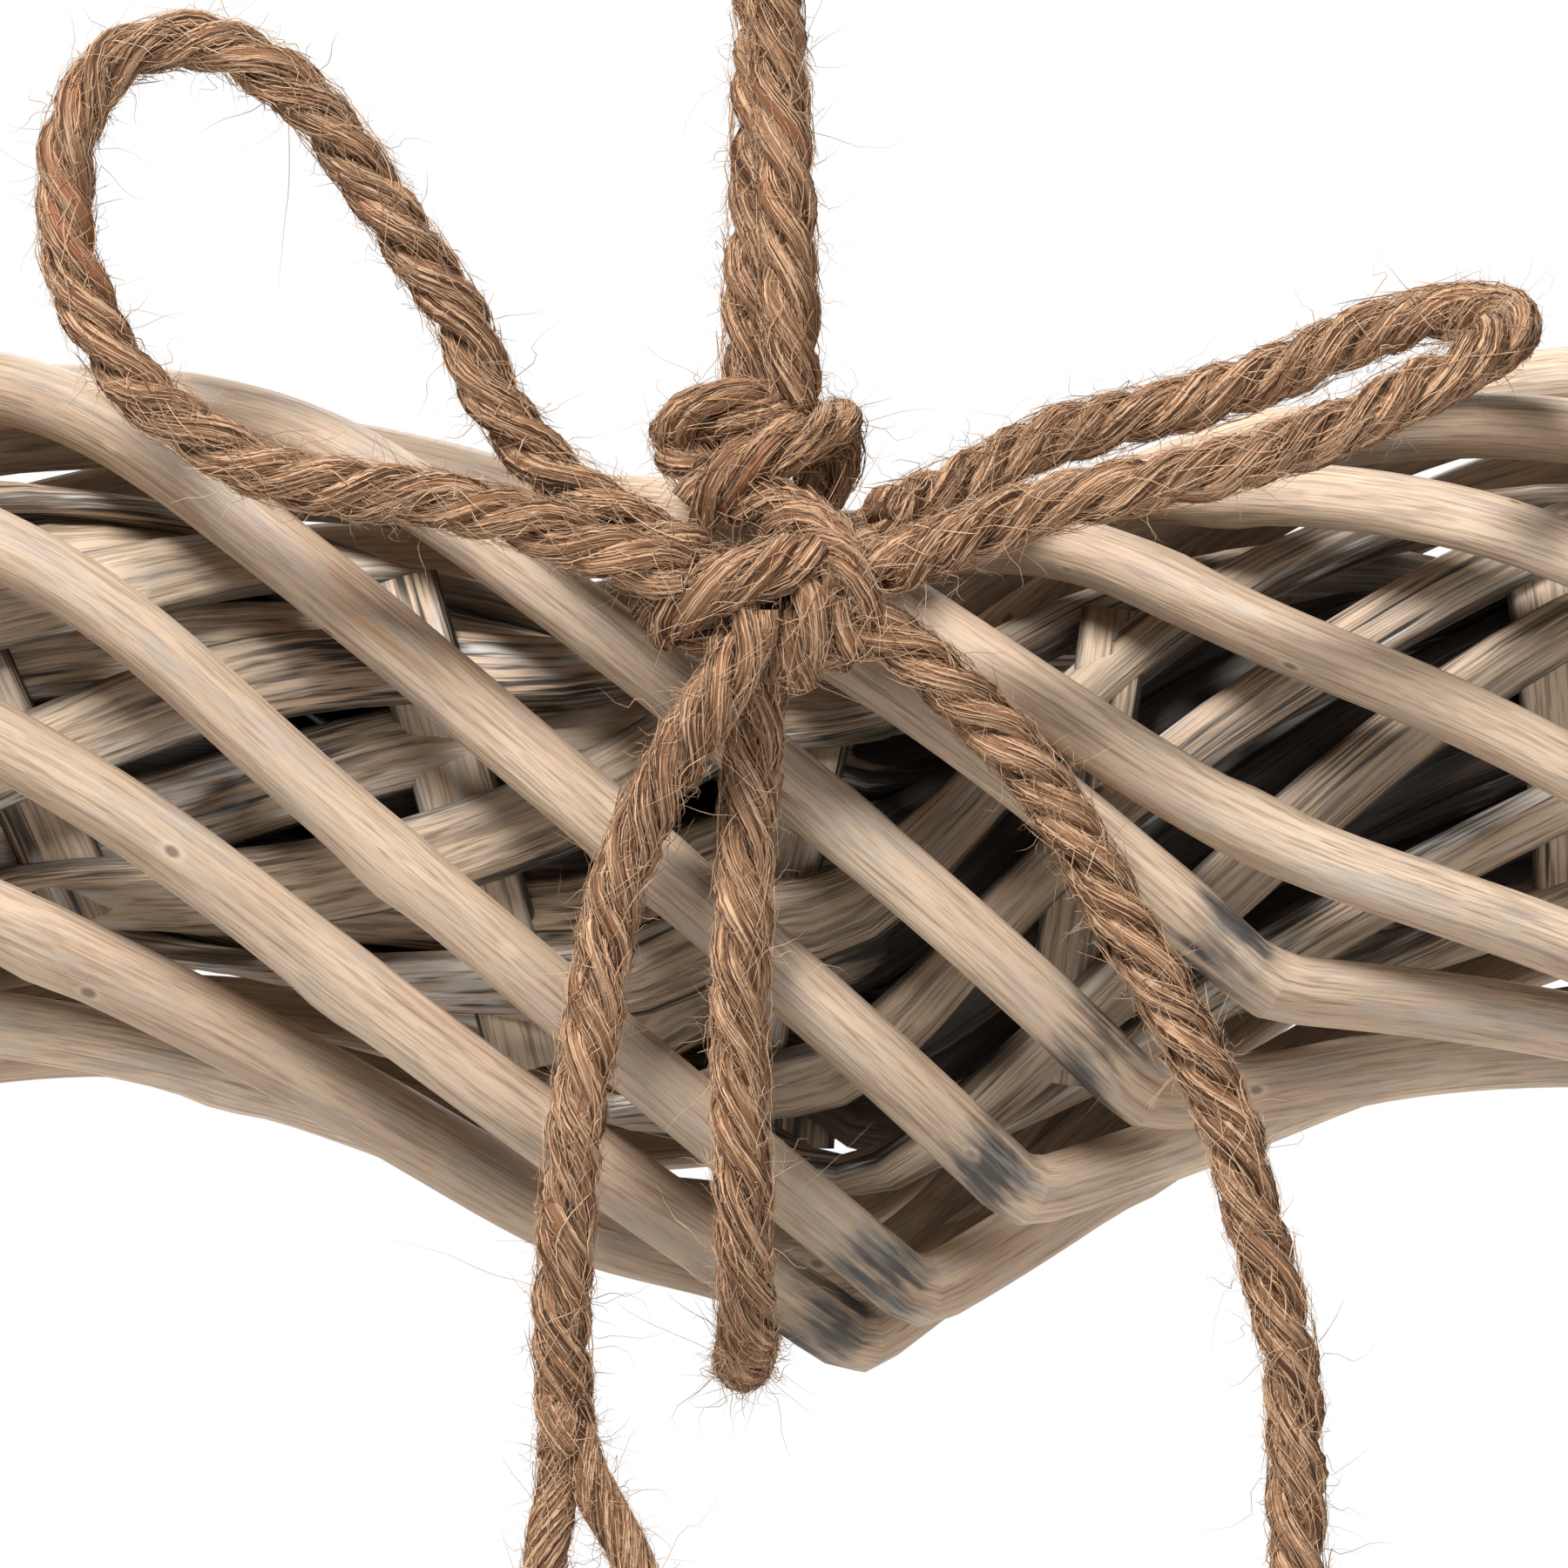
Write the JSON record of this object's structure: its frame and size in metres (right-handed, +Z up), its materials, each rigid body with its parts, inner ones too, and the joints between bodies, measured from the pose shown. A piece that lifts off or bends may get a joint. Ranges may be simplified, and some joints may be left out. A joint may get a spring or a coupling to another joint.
{
  "type": "wicker heart ornament",
  "caption": "Open heart wreath wound from willow rods over a woven lining, hung on a jute rope loop that is tied to its notch in a bow with loose tails.",
  "frame": {"origin": "inside the top of the hanging loop, where a hook carries it", "axes": "+Z up, -Y the front with the bow, +X across the heart to the viewer's right"},
  "size_m": [0.491, 0.0794, 0.5522],
  "materials": {
    "willow_rod": "dry weathered willow with the bark off, grey-beige, fine grain along the rod",
    "willow_strip": "split willow, rough and greyed, dark in the grain",
    "jute_rope": "twisted hairy jute, matt"
  },
  "bodies": {
    "root": {"rod_01": "willow_rod", "rod_02": "willow_rod", "rod_03": "willow_rod", "rod_04": "willow_rod", "rod_05": "willow_rod", "rod_06": "willow_rod", "rod_07": "willow_rod", "rod_08": "willow_rod", "rod_09": "willow_rod", "rod_10": "willow_rod", "rod_11": "willow_rod", "rod_12": "willow_rod", "rod_13": "willow_rod", "rod_14": "willow_rod", "strip_01": "willow_strip", "strip_02": "willow_strip", "strip_03": "willow_strip", "strip_04": "willow_strip", "strip_05": "willow_strip", "strip_06": "willow_strip", "strip_07": "willow_strip", "strip_08": "willow_strip", "hanging_loop": "jute_rope", "hanger_knot": "jute_rope", "bow_knot": "jute_rope", "bow_left_loop": "jute_rope", "bow_right_loop": "jute_rope", "bow_left_tail": "jute_rope", "bow_right_tail": "jute_rope", "band_wrap": "jute_rope"}
  },
  "joints": []
}
